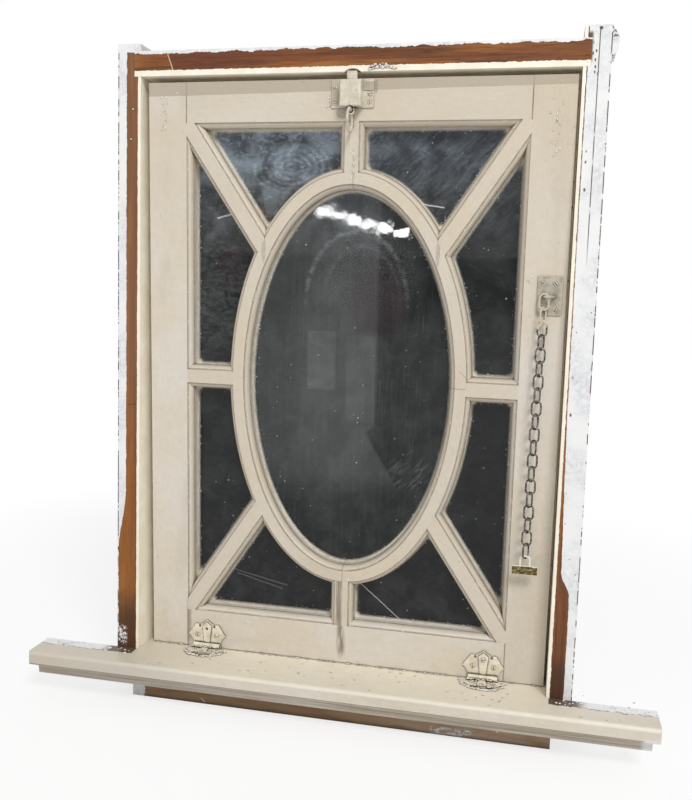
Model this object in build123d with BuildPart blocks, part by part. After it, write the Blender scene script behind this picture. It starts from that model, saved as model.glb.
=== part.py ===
from build123d import *

import os
from math import atan2, cos, degrees, radians, sin, sqrt

os.makedirs("parts", exist_ok=True)

# A bottom-hung timber window that tilts into the room: a sash with an oval centre light and
# eight lights round it, in its jamb frame, with stool, sill, fan hinges, catch and stay chain.
# Millimetres. The origin is the middle of the sill's underside, X runs to the right as seen
# from the room, Y runs out through the wall and Z runs up.

# Jamb frame
opening_width = 624.0
frame_depth = 133.0
jamb_thickness = 35.5
jamb_horn_left = 10.0
jamb_horn_right = 16.0
jamb_foot_lap = 14.0
head_thickness = 36.0
head_housing = 10.0
head_gap = 6.5
keeper_width = 23.0
keeper_height = 4.5
keeper_depth = 6.0
stop_width = 15.0
stop_depth = 30.0
stop_gap = 2.0

# Sill and stool
sill_thickness = 37.5
sill_depth = 170.0
sill_housing = 9.0
sill_fall = 12.0
drip_radius = 3.0
drip_setback = 15.0
stool_thickness = 38.5
stool_nosing = 20.0
stool_projection = 58.0
stool_ear_left = 120.5
stool_ear_right = 115.0
stool_quirk = 1.5
stool_bead = 4.0
stool_round = 4.0
stool_return = 9.0

# Sash
sash_width = 610.0
sash_height = 858.0
sash_thickness = 44.0
sash_gap_left = 10.0
sash_recess = 36.0
sash_lean = 2.0
foot_gap = 1.0
stile_face = 58.0
top_rail_face = 57.0
bottom_rail_face = 59.0
tenon_thickness = 12.0
tenon_relish = 12.0

# Glazing bars, oval ring and glass
bar_face = 20.0
ring_face = 16.0
oval_width = 348.0
oval_height = 602.0
stick_width = 8.0
stick_depth = 13.0
quirk = 1.5
glass_setback = 27.0
glass_thickness = 3.0
glass_lap = 7.0
glass_gap = 1.0
bar_overlap = 20.0

# Fan hinges
hinge_width = 61.0
hinge_inset_left = 60.5
hinge_inset_right = 57.5
barrel_length = 43.0
barrel_radius = 4.5
knuckle_length = 15.0
knuckle_gap = 0.3
upper_leaf_reach = 41.5
lower_leaf_reach = 30.0
leaf_thickness = 2.5
leaf_relief = 1.4
leaf_screw_radius = 2.2
side_screw_x = 15.5
side_screw_rise = 0.4
rib_screw_rise = 0.67
rib_top = 7.4
rib_foot = 4.3
rib_margin = 3.0
notch_inner = 10.2
notch_outer = 13.6
notch_foot = 0.71
lobe_shoulder = 0.82
lobe_crest = 18.5
lobe_corner = 0.4
lobe_hollow = 2.6
pin_radius = 1.6
pin_gap = 0.05

# Catch with its sprung bolt and pull ring
catch_plate_width = 60.0
catch_plate_height = 38.5
catch_plate_thickness = 2.0
catch_drop = 1.0
catch_case_width = 30.0
catch_case_height = 35.5
catch_case_depth = 17.0
catch_case_chamfer = 1.5
catch_case_flare = 3.5
bolt_width = 14.0
bolt_thickness = 6.0
bolt_gap = 0.3
bolt_rise = 9.0
bolt_bevel = 3.0
bolt_heel = 3.0
eye_drop = 5.2
eye_thickness = 2.5
eye_hole_radius = 3.4
eye_radius = 5.2
eye_offset = 10.0
ring_radius = 15.5
ring_wire = 2.0
ring_gap = 0.3

# Stay chain
chain_plate_width = 33.0
chain_plate_height = 53.0
chain_plate_thickness = 2.0
chain_plate_edge = 5.8
chain_plate_top = 592.5
staple_width = 13.0
staple_reach = 12.0
staple_wire = 2.0
staple_bend = 3.0
link_count = 20
link_pitch = 18.4
link_width = 15.0
link_wire = 1.3
link_gap = 0.3
link_sides = 8
link_twist = 55.0
chain_inset = 23.4
chain_drop = 34.5
chain_offset = 9.0
chain_drift = 6.3
end_plate_width = 35.0
end_plate_height = 12.0
end_plate_thickness = 2.0
end_loop_width = 16.0
end_loop_height = 14.0
end_loop_bend = 4.7

# Levels and faces that follow from the sizes
room_y = -sill_depth / 2
sill_top = sill_thickness
stool_top = sill_top + stool_thickness
half_opening = opening_width / 2
jamb_outer = half_opening + jamb_thickness
lean_sin = sin(radians(sash_lean))
lean_cos = cos(radians(sash_lean))
foot_y = room_y + sash_recess
foot_z = stool_top + foot_gap
stop_y = foot_y + sash_thickness + stop_gap
head_z = foot_z + sash_height * lean_cos + sash_thickness * lean_sin + head_gap
head_top = head_z + head_thickness
jamb_foot_z = sill_top - jamb_foot_lap
sash_x = -half_opening + sash_gap_left + sash_width / 2

# The sash is drawn on its own leaning face: x across, y up from its foot, z towards the room
sash_plane = Plane(
    origin=(sash_x, foot_y, foot_z), x_dir=(1, 0, 0), z_dir=(0, -lean_cos, -lean_sin)
)
half_sash = sash_width / 2
light_left = -half_sash + stile_face
light_right = -light_left
light_bottom = bottom_rail_face
light_top = sash_height - top_rail_face
oval_y = (light_bottom + light_top) / 2
ring_a = (oval_width - ring_face) / 2
ring_b = (oval_height - ring_face) / 2
rebate = stick_width - glass_lap


def finish(piece, name):
    """Label a finished piece and write it as its own file."""
    piece.part.label = name
    export_step(piece.part, f"parts/{name}.step")


def member_plane(x, y, angle):
    """Plane across a sash member that starts at x, y on the face and runs at this angle."""
    start = sash_plane.from_local_coords(Vector(x, y, 0))
    run = sash_plane.x_dir * cos(radians(angle)) + sash_plane.y_dir * sin(radians(angle))
    side = sash_plane.y_dir * cos(radians(angle)) - sash_plane.x_dir * sin(radians(angle))
    return Plane(origin=start, x_dir=side, z_dir=run)


def moulded_edge(face):
    """Lines from the face, over the ovolo, down to the glass and along the rebate to the back."""
    ovolo_x = stick_width - 2 * quirk
    ovolo_y = stick_depth - quirk
    ovolo_end = (face + quirk + ovolo_x, -stick_depth)
    ovolo_mid = (
        face + quirk + ovolo_x * sqrt(0.5),
        -stick_depth + ovolo_y * sqrt(0.5),
    )
    start = (face + quirk, -quirk)
    Polyline((face, 0), (face, -quirk), start)
    ThreePointArc(start, ovolo_mid, ovolo_end)
    Polyline(
        ovolo_end,
        (face + stick_width, -stick_depth),
        (face + stick_width, -glass_setback),
        (face + rebate, -glass_setback),
        (face + rebate, -sash_thickness),
    )


def rail_section(face):
    """Section of a stile or rail: flat outer edge, moulded inner edge at x = 0."""
    with BuildSketch() as section:
        with BuildLine():
            moulded_edge(0)
            Polyline((rebate, -sash_thickness), (-face, -sash_thickness), (-face, 0), (0, 0))
        make_face()
    return section.sketch


def bar_section(face):
    """Section of a glazing bar: moulded and rebated on both sides."""
    with BuildSketch() as section:
        with BuildLine():
            moulded_edge(face / 2)
            Line((0, 0), (face / 2, 0))
            Line((face / 2 + rebate, -sash_thickness), (0, -sash_thickness))
            mirror(about=Plane.YZ)
        make_face()
    return section.sketch


# Sill
sill_nose_y = room_y + sill_depth
sill_flat_y = stop_y + stop_depth
with BuildPart() as sill:
    with BuildSketch(Plane.YZ):
        with BuildLine():
            Polyline(
                (room_y, 0),
                (room_y, sill_top),
                (sill_flat_y, sill_top),
                (sill_nose_y, sill_top - sill_fall),
                (sill_nose_y, 0),
                close=True,
            )
        make_face()
        with Locations((sill_nose_y - drip_setback, 0)):
            Circle(drip_radius, mode=Mode.SUBTRACT)
    extrude(amount=half_opening + sill_housing, both=True)
finish(sill, "sill")

# Head, let into both jambs, with the worn notch that the catch bolt shoots into
with BuildPart() as head:
    with BuildSketch(Plane.XY.offset(head_z)):
        with Locations((0, room_y + frame_depth / 2)):
            Rectangle(opening_width + 2 * head_housing, frame_depth)
    extrude(amount=head_thickness)
    with BuildSketch(Plane.XZ.offset(-room_y)):
        with BuildLine():
            notch_left = (sash_x - keeper_width / 2, head_z)
            notch_right = (sash_x + keeper_width / 2, head_z)
            ThreePointArc(notch_left, (sash_x, head_z + keeper_height), notch_right)
            Line(notch_right, notch_left)
        make_face()
    extrude(amount=-keeper_depth, mode=Mode.SUBTRACT)
finish(head, "head")

# Jambs, housed over the ends of the head and the sill
for name, side, horn in (("jamb_left", -1, jamb_horn_left), ("jamb_right", 1, jamb_horn_right)):
    with BuildPart() as jamb:
        with BuildSketch(Plane.XY.offset(jamb_foot_z)):
            with Locations((side * (half_opening + jamb_thickness / 2), room_y + frame_depth / 2)):
                Rectangle(jamb_thickness, frame_depth)
        extrude(amount=head_top + horn - jamb_foot_z)
        add(head.part, mode=Mode.SUBTRACT)
        add(sill.part, mode=Mode.SUBTRACT)
    finish(jamb, name)

# Stops behind the sash
for name, side in (("stop_left", -1), ("stop_right", 1)):
    with BuildPart() as stop:
        with BuildSketch(Plane.XY.offset(sill_top)):
            with Locations((side * (half_opening - stop_width / 2), stop_y + stop_depth / 2)):
                Rectangle(stop_width, stop_depth)
        extrude(amount=head_z - sill_top)
    finish(stop, name)
with BuildPart() as stop_top:
    with BuildSketch(Plane.XY.offset(head_z)):
        with Locations((0, stop_y + stop_depth / 2)):
            Rectangle(opening_width - 2 * stop_width, stop_depth)
    extrude(amount=-stop_width)
finish(stop_top, "stop_top")

# Stool: a board between the jambs with an ear on each side, over a cove cut short of its ends
stool_front = room_y - stool_projection
stool_left = -jamb_outer - stool_ear_left
stool_right = jamb_outer + stool_ear_right
cove_height = stool_thickness - stool_nosing
cove_radius = cove_height - stool_bead
cove_depth = stool_quirk + cove_radius
with BuildPart() as stool:
    with BuildSketch(Plane.XY.offset(sill_top)):
        with BuildLine():
            Polyline(
                (stool_left, stool_front),
                (stool_right, stool_front),
                (stool_right, room_y),
                (half_opening, room_y),
                (half_opening, stop_y),
                (-half_opening, stop_y),
                (-half_opening, room_y),
                (stool_left, room_y),
                close=True,
            )
        make_face()
    extrude(amount=stool_thickness)
    nosing_top = stool.edges().filter_by(Axis.X).group_by(Axis.Y)[0].sort_by(Axis.Z)[-1]
    fillet([nosing_top] + stool.edges().filter_by(Axis.Z).group_by(Axis.Y)[0], stool_round)
    with BuildSketch(Plane.YZ.offset(stool_left)):
        with Locations((stool_front + stool_quirk, sill_top + stool_bead)):
            Circle(cove_radius)
        with Locations((stool_front + cove_depth / 2, sill_top + stool_bead / 2)):
            Rectangle(cove_depth, stool_bead)
        with Locations((stool_front + stool_quirk / 2, sill_top + cove_height / 2)):
            Rectangle(stool_quirk, cove_height)
    extrude(amount=stool_right - stool_left, mode=Mode.SUBTRACT)
    with BuildSketch(Plane.XZ.offset(-stool_front)):
        with Locations((stool_left, sill_top), (stool_right, sill_top)):
            Rectangle(2 * stool_return, 2 * cove_height)
    extrude(amount=-stool_projection, mode=Mode.SUBTRACT)
finish(stool, "stool")

# Tenons of the rails run through both stiles, between the moulding and the glazing rebate
tenon_setback = (stick_depth + glass_setback - tenon_thickness) / 2
with BuildPart() as tenons:
    with BuildSketch(sash_plane.offset(-tenon_setback)):
        with Locations((0, sash_height - tenon_relish)):
            Rectangle(
                sash_width, top_rail_face - tenon_relish, align=(Align.CENTER, Align.MAX)
            )
        with Locations((0, tenon_relish)):
            Rectangle(
                sash_width, bottom_rail_face - tenon_relish, align=(Align.CENTER, Align.MIN)
            )
    extrude(amount=-tenon_thickness)
bottom_tenon, top_tenon = tenons.solids().sort_by(Axis.Z)

# Stiles run the full height, mortised for the tenons and moulded on the side of the lights
stiles = []
for name, x, y, angle in (
    ("stile_left", light_left, sash_height, -90),
    ("stile_right", light_right, 0, 90),
):
    with BuildPart() as stile:
        with BuildSketch(member_plane(x, y, angle)):
            add(rail_section(stile_face))
        extrude(amount=sash_height)
        add(tenons.part, mode=Mode.SUBTRACT)
    finish(stile, name)
    stiles.append(stile.part)

# Rails, coped over the moulding of the stiles
rails = []
for name, x, y, angle, face, tenon in (
    ("rail_top", light_right, light_top, 180, top_rail_face, top_tenon),
    ("rail_bottom", light_left, light_bottom, 0, bottom_rail_face, bottom_tenon),
):
    with BuildPart() as rail:
        with BuildSketch(member_plane(x, y, angle)):
            add(rail_section(face))
        extrude(amount=light_right - light_left)
        add(stiles, mode=Mode.SUBTRACT)
        add(tenon)
    finish(rail, name)
    rails.append(rail.part)

# Oval ring in four segments, each swept along its quarter of the ellipse
ring_names = ("ring_upper_right", "ring_upper_left", "ring_lower_left", "ring_lower_right")
ring_segments = []
for quarter, name in enumerate(ring_names):
    angle = 90 * quarter
    with BuildPart() as segment:
        with BuildLine(sash_plane):
            path = EllipticalCenterArc((0, oval_y), ring_a, ring_b, angle, arc_size=90)
        start_x = ring_a * cos(radians(angle))
        start_y = oval_y + ring_b * sin(radians(angle))
        with BuildSketch(member_plane(start_x, start_y, angle + 90)):
            add(bar_section(ring_face))
        sweep(path=path)
    finish(segment, name)
    ring_segments.append(segment.part)

# Glazing bars run from the ring to the stiles, rails and corners, coped at both ends
corner_rise = light_top - oval_y
corner_angle = degrees(atan2(corner_rise, light_right))
corner_reach = sqrt(light_right**2 + corner_rise**2)
bars = (
    ("bar_right", 0, light_right),
    ("bar_upper_right", corner_angle, corner_reach),
    ("bar_top", 90, corner_rise),
    ("bar_upper_left", 180 - corner_angle, corner_reach),
    ("bar_left", 180, light_right),
    ("bar_lower_left", 180 + corner_angle, corner_reach),
    ("bar_bottom", 270, corner_rise),
    ("bar_lower_right", 360 - corner_angle, corner_reach),
)
for name, angle, reach in bars:
    with BuildPart() as bar:
        with BuildSketch(member_plane(0, oval_y, angle)):
            add(bar_section(bar_face))
        extrude(amount=reach + bar_overlap)
        with BuildSketch(sash_plane):
            with Locations((0, oval_y)):
                Ellipse(ring_a, ring_b)
        extrude(amount=-sash_thickness, mode=Mode.SUBTRACT)
        quarters = {int(angle // 90) % 4, int((angle - 1) // 90) % 4}
        add([ring_segments[quarter] for quarter in quarters], mode=Mode.SUBTRACT)
        add(stiles + rails, mode=Mode.SUBTRACT)
    finish(bar, name)

# Panes, bedded against the back of the moulding
pane_plane = sash_plane.offset(-glass_setback)
edge_gap = rebate + glass_gap
with BuildPart() as pane_oval:
    with BuildSketch(pane_plane):
        with Locations((0, oval_y)):
            Ellipse(ring_a - ring_face / 2 - edge_gap, ring_b - ring_face / 2 - edge_gap)
    extrude(amount=-glass_thickness)
finish(pane_oval, "pane_oval")

pane_names = (
    "pane_left_lower",
    "pane_lower_left",
    "pane_lower_right",
    "pane_right_lower",
    "pane_right_upper",
    "pane_upper_right",
    "pane_upper_left",
    "pane_left_upper",
)
with BuildSketch(pane_plane) as outer_lights:
    with Locations((0, oval_y)):
        Rectangle(light_right - light_left - 2 * edge_gap, 2 * corner_rise - 2 * edge_gap)
        Ellipse(
            ring_a + ring_face / 2 + edge_gap,
            ring_b + ring_face / 2 + edge_gap,
            mode=Mode.SUBTRACT,
        )
    for name, angle, reach in bars[:4]:
        with Locations(Location((0, oval_y, 0), (0, 0, angle))):
            Rectangle(2 * (reach + bar_overlap), bar_face + 2 * edge_gap, mode=Mode.SUBTRACT)


def turn_from_left(face):
    """Angle of a light about the middle of the oval, counted round from the left."""
    spot = pane_plane.to_local_coords(face.center())
    return atan2(spot.Y - oval_y, spot.X)


for name, light in zip(pane_names, sorted(outer_lights.sketch.faces(), key=turn_from_left)):
    with BuildPart() as pane:
        extrude(light, amount=-glass_thickness, dir=pane_plane.z_dir)
    finish(pane, name)

# Fan hinges: the upper leaf on the bottom rail, the lower leaf on the stool, three knuckles
pin_up = (barrel_radius - foot_gap + barrel_radius * lean_sin) / lean_cos


def fan_leaf(reach):
    """Outline of a leaf of three lobes that springs from its barrel at y = 0."""
    half = hinge_width / 2
    corner = (half, lobe_corner * reach)
    waist = (barrel_length / 2, 0)
    hollow = ((half + barrel_length / 2) / 2 - lobe_hollow, lobe_corner * reach / 2)
    with BuildSketch() as outline:
        with BuildLine():
            Polyline(
                (0, reach),
                (notch_inner, lobe_shoulder * reach),
                (notch_inner, notch_foot * reach),
                (notch_outer, notch_foot * reach),
                (notch_outer, lobe_shoulder * reach),
                (lobe_crest, lobe_shoulder * reach),
                corner,
            )
            ThreePointArc(corner, hollow, waist)
            Line(waist, (0, 0))
            mirror(about=Plane.YZ)
        make_face()
    return outline.sketch


def fan_rib(reach):
    """Outline of the raised rib up the middle of a leaf, inside the edge of its lobe."""
    with BuildSketch() as outline:
        with BuildLine():
            Polyline(
                (0, reach - rib_margin),
                (rib_top, lobe_shoulder * reach - rib_margin / 2),
                (rib_foot, barrel_radius),
                (0, barrel_radius),
            )
            mirror(about=Plane.YZ)
        make_face()
    return outline.sketch


def screw_places(reach):
    """Screw holes of a leaf: one in the rib and one in each side lobe."""
    side_y = side_screw_rise * reach
    return [(0, rib_screw_rise * reach), (-side_screw_x, side_y), (side_screw_x, side_y)]


pins = []
for side_name, hinge_x in (
    ("left", -half_sash + hinge_inset_left + hinge_width / 2),
    ("right", half_sash - hinge_inset_right - hinge_width / 2),
):
    pin = sash_plane.from_local_coords(Vector(hinge_x, pin_up, barrel_radius))
    upper_plane = Plane(
        origin=sash_plane.from_local_coords(Vector(hinge_x, pin_up, 0)),
        x_dir=sash_plane.x_dir,
        z_dir=sash_plane.z_dir,
    )
    lower_plane = Plane(origin=(pin.X, pin.Y, stool_top), x_dir=(-1, 0, 0), z_dir=(0, 0, 1))
    barrel_plane = Plane(origin=pin, x_dir=(0, 1, 0), z_dir=(1, 0, 0))
    inner_knuckle = barrel_length / 2 - knuckle_length

    with BuildPart() as upper_leaf:
        with BuildSketch(upper_plane):
            add(fan_leaf(upper_leaf_reach))
        extrude(amount=leaf_thickness)
        with BuildSketch(upper_plane.offset(leaf_thickness)):
            add(fan_rib(upper_leaf_reach))
        extrude(amount=leaf_relief)
        with BuildSketch(upper_plane):
            with Locations(screw_places(upper_leaf_reach)):
                Circle(leaf_screw_radius)
        extrude(amount=leaf_thickness + leaf_relief, mode=Mode.SUBTRACT)
        with BuildSketch(barrel_plane):
            Circle(barrel_radius + knuckle_gap)
        extrude(amount=barrel_length, both=True, mode=Mode.SUBTRACT)
        with BuildSketch(barrel_plane):
            Circle(barrel_radius)
        extrude(amount=inner_knuckle - knuckle_gap, both=True)
        with BuildSketch(upper_plane):
            with Locations((0, barrel_radius)):
                Rectangle(2 * (inner_knuckle - knuckle_gap), 2 * barrel_radius)
        extrude(amount=leaf_thickness)
        with BuildSketch(barrel_plane):
            Circle(pin_radius + pin_gap)
        extrude(amount=barrel_length, both=True, mode=Mode.SUBTRACT)
    finish(upper_leaf, f"hinge_{side_name}_upper_leaf")

    with BuildPart() as lower_leaf:
        with BuildSketch(lower_plane):
            add(fan_leaf(lower_leaf_reach))
        extrude(amount=leaf_thickness)
        with BuildSketch(lower_plane.offset(leaf_thickness)):
            add(fan_rib(lower_leaf_reach))
        extrude(amount=leaf_relief)
        with BuildSketch(lower_plane):
            with Locations(screw_places(lower_leaf_reach)):
                Circle(leaf_screw_radius)
        extrude(amount=leaf_thickness + leaf_relief, mode=Mode.SUBTRACT)
        with BuildSketch(barrel_plane):
            Circle(barrel_radius + knuckle_gap)
        extrude(amount=inner_knuckle, both=True, mode=Mode.SUBTRACT)
        for outward in (-1, 1):
            with BuildSketch(barrel_plane.offset(outward * inner_knuckle)):
                Circle(barrel_radius)
            extrude(amount=outward * knuckle_length)
        with BuildSketch(barrel_plane):
            Circle(pin_radius + pin_gap)
        extrude(amount=barrel_length, both=True, mode=Mode.SUBTRACT)
    finish(lower_leaf, f"hinge_{side_name}_lower_leaf")

    pins.append(barrel_plane)

with BuildPart() as hinge_pins:
    for barrel_plane in pins:
        with BuildSketch(barrel_plane):
            Circle(pin_radius)
        extrude(amount=barrel_length / 2 + pin_radius, both=True)
finish(hinge_pins, "hinge_pins")

# Catch: a cast case that flares into its plate, flush with its foot, open for the bolt
catch_top = sash_height - catch_drop
case_foot = catch_top - catch_plate_height
case_half = catch_case_width / 2
with BuildPart() as catch_case:
    with BuildSketch(sash_plane):
        with Locations((0, case_foot)):
            Rectangle(catch_plate_width, catch_plate_height, align=(Align.CENTER, Align.MIN))
    extrude(amount=catch_plate_thickness)
    with BuildSketch(sash_plane.offset(catch_plate_thickness)):
        with Locations((0, case_foot)):
            Rectangle(catch_case_width, catch_case_height, align=(Align.CENTER, Align.MIN))
    extrude(amount=catch_case_depth)
    chamfer(catch_case.faces().sort_by(Axis.Y)[0].edges(), catch_case_chamfer)
    seam_y = case_foot + catch_case_height / 2
    for side in (-case_half, case_half):
        seam = sash_plane.from_local_coords(Vector(side, seam_y, catch_plate_thickness))
        fillet(catch_case.edges().sort_by_distance(seam)[0], catch_case_flare)
    with BuildSketch(sash_plane.offset(catch_plate_thickness)):
        with Locations((0, case_foot)):
            Rectangle(
                bolt_width + 2 * bolt_gap, catch_plate_height, align=(Align.CENTER, Align.MIN)
            )
    extrude(amount=bolt_thickness + 2 * bolt_gap, mode=Mode.SUBTRACT)
finish(catch_case, "catch_case")

# Bolt: a bevelled bar that runs up through the case, with a heel and an eye below it
bolt_back = catch_plate_thickness + bolt_gap
heel_top = case_foot - bolt_gap
eye_y = case_foot - eye_drop
eye_back = eye_offset - eye_thickness / 2
with BuildPart() as catch_bolt:
    with BuildSketch(sash_plane.offset(bolt_back)):
        with Locations((0, heel_top - bolt_heel)):
            Rectangle(
                bolt_width,
                sash_height + bolt_rise - heel_top + bolt_heel,
                align=(Align.CENTER, Align.MIN),
            )
    extrude(amount=bolt_thickness)
    tip = catch_bolt.faces().sort_by(Axis.Z)[-1]
    chamfer(tip.edges().sort_by(Axis.Y)[-1], bolt_bevel)
    with BuildSketch(sash_plane.offset(bolt_back)):
        with Locations((0, heel_top)):
            Rectangle(2 * eye_radius, bolt_heel, align=(Align.CENTER, Align.MAX))
    extrude(amount=eye_back - bolt_back)
    with BuildSketch(sash_plane.offset(eye_back)):
        with Locations((0, eye_y)):
            Circle(eye_radius)
            Rectangle(2 * eye_radius, heel_top - eye_y, align=(Align.CENTER, Align.MIN))
            Circle(eye_hole_radius, mode=Mode.SUBTRACT)
    extrude(amount=eye_thickness)
finish(catch_bolt, "catch_bolt")

# Pull ring: hangs in the eye, square to the sash, and leans on the face of the rail
ring_out = ring_radius + ring_wire + ring_gap
ring_y = eye_y - sqrt(ring_radius**2 - (ring_out - eye_offset) ** 2)
ring_centre = sash_plane.from_local_coords(Vector(0, ring_y, ring_out))
with BuildPart(Plane(origin=ring_centre, x_dir=sash_plane.y_dir, z_dir=(1, 0, 0))) as catch_ring:
    Torus(ring_radius, ring_wire)
finish(catch_ring, "catch_ring")

# Chain plate with its staple on the right stile
plate_x = half_sash - chain_plate_edge - chain_plate_width / 2
with BuildPart() as chain_plate:
    with BuildSketch(sash_plane):
        with Locations((plate_x, chain_plate_top)):
            Rectangle(chain_plate_width, chain_plate_height, align=(Align.CENTER, Align.MAX))
    extrude(amount=chain_plate_thickness)
finish(chain_plate, "chain_plate")

chain_x = half_sash - chain_plate_edge - chain_inset
first_link_y = chain_plate_top - chain_drop
link_inside = link_pitch + link_gap
staple_y = first_link_y + link_inside / 2 - link_gap - staple_wire
staple_plane = Plane(
    origin=sash_plane.from_local_coords(Vector(chain_x, staple_y, 0)),
    x_dir=sash_plane.x_dir,
    z_dir=-sash_plane.y_dir,
)
with BuildPart() as chain_staple:
    with BuildLine(staple_plane) as staple_path:
        FilletPolyline(
            (0, chain_plate_thickness),
            (0, staple_reach),
            (staple_width, staple_reach),
            (staple_width, chain_plate_thickness),
            radius=staple_bend,
        )
    with BuildSketch(Plane(origin=staple_path.line @ 0, z_dir=staple_path.line % 0)):
        Circle(staple_wire)
    sweep(path=staple_path.line)
finish(chain_staple, "chain_staple")

# One upright link of the chain, drawn about its own middle
bow_radius = link_width / 2 - link_wire
straight = link_inside / 2 + link_wire - bow_radius
with BuildPart() as link:
    with BuildLine(Plane.XZ) as link_path:
        Line((bow_radius, -straight), (bow_radius, straight))
        ThreePointArc(
            (bow_radius, straight), (0, straight + bow_radius), (-bow_radius, straight)
        )
        Line((-bow_radius, straight), (-bow_radius, -straight))
        ThreePointArc(
            (-bow_radius, -straight), (0, -straight - bow_radius), (bow_radius, -straight)
        )
    link_wire_path = link_path.wires()[0]
    with BuildSketch(Plane(origin=link_wire_path @ 0, z_dir=link_wire_path % 0)):
        RegularPolygon(link_wire, link_sides)
    sweep(path=link_wire_path)

# Chain: it hangs from the staple, every second link turned
chain_top = sash_plane.from_local_coords(Vector(chain_x, first_link_y, chain_offset))
drift_step = chain_drift / (link_count - 1)


def link_middle(index):
    """Middle of a link, counted down from the staple."""
    return chain_top + Vector(-drift_step * index, 0, -link_pitch * index)


with BuildPart() as chain:
    turns = [(0, 0, link_twist * (index % 2)) for index in range(link_count)]
    with Locations([Location(link_middle(index), turn) for index, turn in enumerate(turns)]):
        add(link.part)
finish(chain, "chain")

# End plate: hangs from the last link by its loop
loop_y = link_inside / 2 + link_wire - link_gap
end_plane = Plane(origin=link_middle(link_count), x_dir=(1, 0, 0), z_dir=(0, -1, 0))
loop_leg = end_loop_width / 2 - link_wire
with BuildPart() as chain_end_plate:
    with BuildSketch(end_plane.offset(-end_plate_thickness / 2)):
        with Locations((0, loop_y - end_loop_height)):
            Rectangle(end_plate_width, end_plate_height, align=(Align.CENTER, Align.MAX))
    extrude(amount=end_plate_thickness)
    with BuildLine(end_plane) as loop_path:
        loop_foot = loop_y - end_loop_height - end_plate_height / 2
        FilletPolyline(
            (-loop_leg, loop_foot),
            (-loop_leg, loop_y),
            (loop_leg, loop_y),
            (loop_leg, loop_foot),
            radius=end_loop_bend,
        )
    with BuildSketch(Plane(origin=loop_path.line @ 0, z_dir=loop_path.line % 0)):
        RegularPolygon(link_wire, link_sides)
    sweep(path=loop_path.line)
finish(chain_end_plate, "chain_end_plate")
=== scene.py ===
import math
import random

import bmesh
import bpy
from mathutils import Matrix, Vector
from mathutils import noise as rough_noise


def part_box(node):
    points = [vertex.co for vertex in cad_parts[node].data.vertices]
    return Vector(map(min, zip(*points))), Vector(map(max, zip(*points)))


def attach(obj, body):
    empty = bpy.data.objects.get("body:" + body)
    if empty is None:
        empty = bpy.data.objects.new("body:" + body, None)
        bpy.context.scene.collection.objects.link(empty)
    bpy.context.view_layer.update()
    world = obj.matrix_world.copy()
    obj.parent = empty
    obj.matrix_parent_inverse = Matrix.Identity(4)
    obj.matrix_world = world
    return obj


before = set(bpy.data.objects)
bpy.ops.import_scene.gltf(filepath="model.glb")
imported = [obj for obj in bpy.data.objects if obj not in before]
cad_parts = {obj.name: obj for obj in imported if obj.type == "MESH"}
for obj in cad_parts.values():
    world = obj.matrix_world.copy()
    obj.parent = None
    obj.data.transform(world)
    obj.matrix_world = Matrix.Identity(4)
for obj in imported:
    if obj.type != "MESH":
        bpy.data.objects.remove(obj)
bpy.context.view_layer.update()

# Sizes of the window that the dressing follows, in millimetres
SASH_X, FOOT_Y, FOOT_Z = 3.0, -49.0, 77.0
LEAN = math.radians(2.0)
SASH_HALF, SASH_HIGH = 305.0, 858.0
STILE, TOP_RAIL, BOTTOM_RAIL = 58.0, 57.0, 59.0
OVAL_H, RING_A, RING_B = 430.0, 166.0, 293.0
LIGHT_RIGHT, LIGHT_RISE = 247.0, 371.0
ROOM_Y = -85.0
STOOL_TOP, STOOL_FRONT = 76.0, -143.0
HEAD_Z, HEAD_TOP = 942.5, 978.5
JAMB_LEFT, JAMB_RIGHT = -347.0, 347.0
HINGES = (-214.0, 217.0)
NAILS = ((-324.3, 896.8), (-327.3, 854.0))
CUTS = (-1.7, -12.9)  # depths of the two cuts in the moulding round each pane
HIGHLIT_RIM = (-28.0, -19.0)  # depths of the painted highlight on the moulding's wall beside the glass
SIN, COS = math.sin(LEAN), math.cos(LEAN)
CORNER = math.degrees(math.atan2(LIGHT_RISE, LIGHT_RIGHT))


def sash(x, h, n=0.0):
    """Point of the leaning sash in metres: across from its middle, up its slope, off its face."""
    y = FOOT_Y - h * SIN - n * COS
    z = FOOT_Z + h * COS - n * SIN
    return Vector((SASH_X + x, y, z)) / 1000


# Node expressions
class S:
    """A socket of a node tree that can be added, multiplied and so on."""

    def __init__(self, tree, out):
        self.tree, self.out = tree, out

    def __add__(self, other):
        return op("ADD", self, other)

    def __radd__(self, other):
        return op("ADD", other, self)

    def __sub__(self, other):
        return op("SUBTRACT", self, other)

    def __rsub__(self, other):
        return op("SUBTRACT", other, self)

    def __mul__(self, other):
        return op("MULTIPLY", self, other)

    def __rmul__(self, other):
        return op("MULTIPLY", other, self)

    def __truediv__(self, other):
        return op("DIVIDE", self, other)

    def __neg__(self):
        return op("MULTIPLY", self, -1.0)


def put(tree, socket, value):
    """Link a value to a node's socket, or set the socket to it."""
    if isinstance(value, S):
        tree.links.new(value.out, socket)
    elif value is not None:
        socket.default_value = value


def tree_of(values):
    """The node tree that the first socket among the values belongs to."""
    return next(v.tree for v in values if isinstance(v, S))


def op(kind, *values):
    """A Math node over these values."""
    tree = tree_of(values)
    made = tree.nodes.new("ShaderNodeMath")
    made.operation = kind
    for socket, value in zip(made.inputs, values):
        put(tree, socket, value)
    return S(tree, made.outputs[0])


def high(a, b):
    """The larger of two values."""
    return op("MAXIMUM", a, b)


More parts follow.
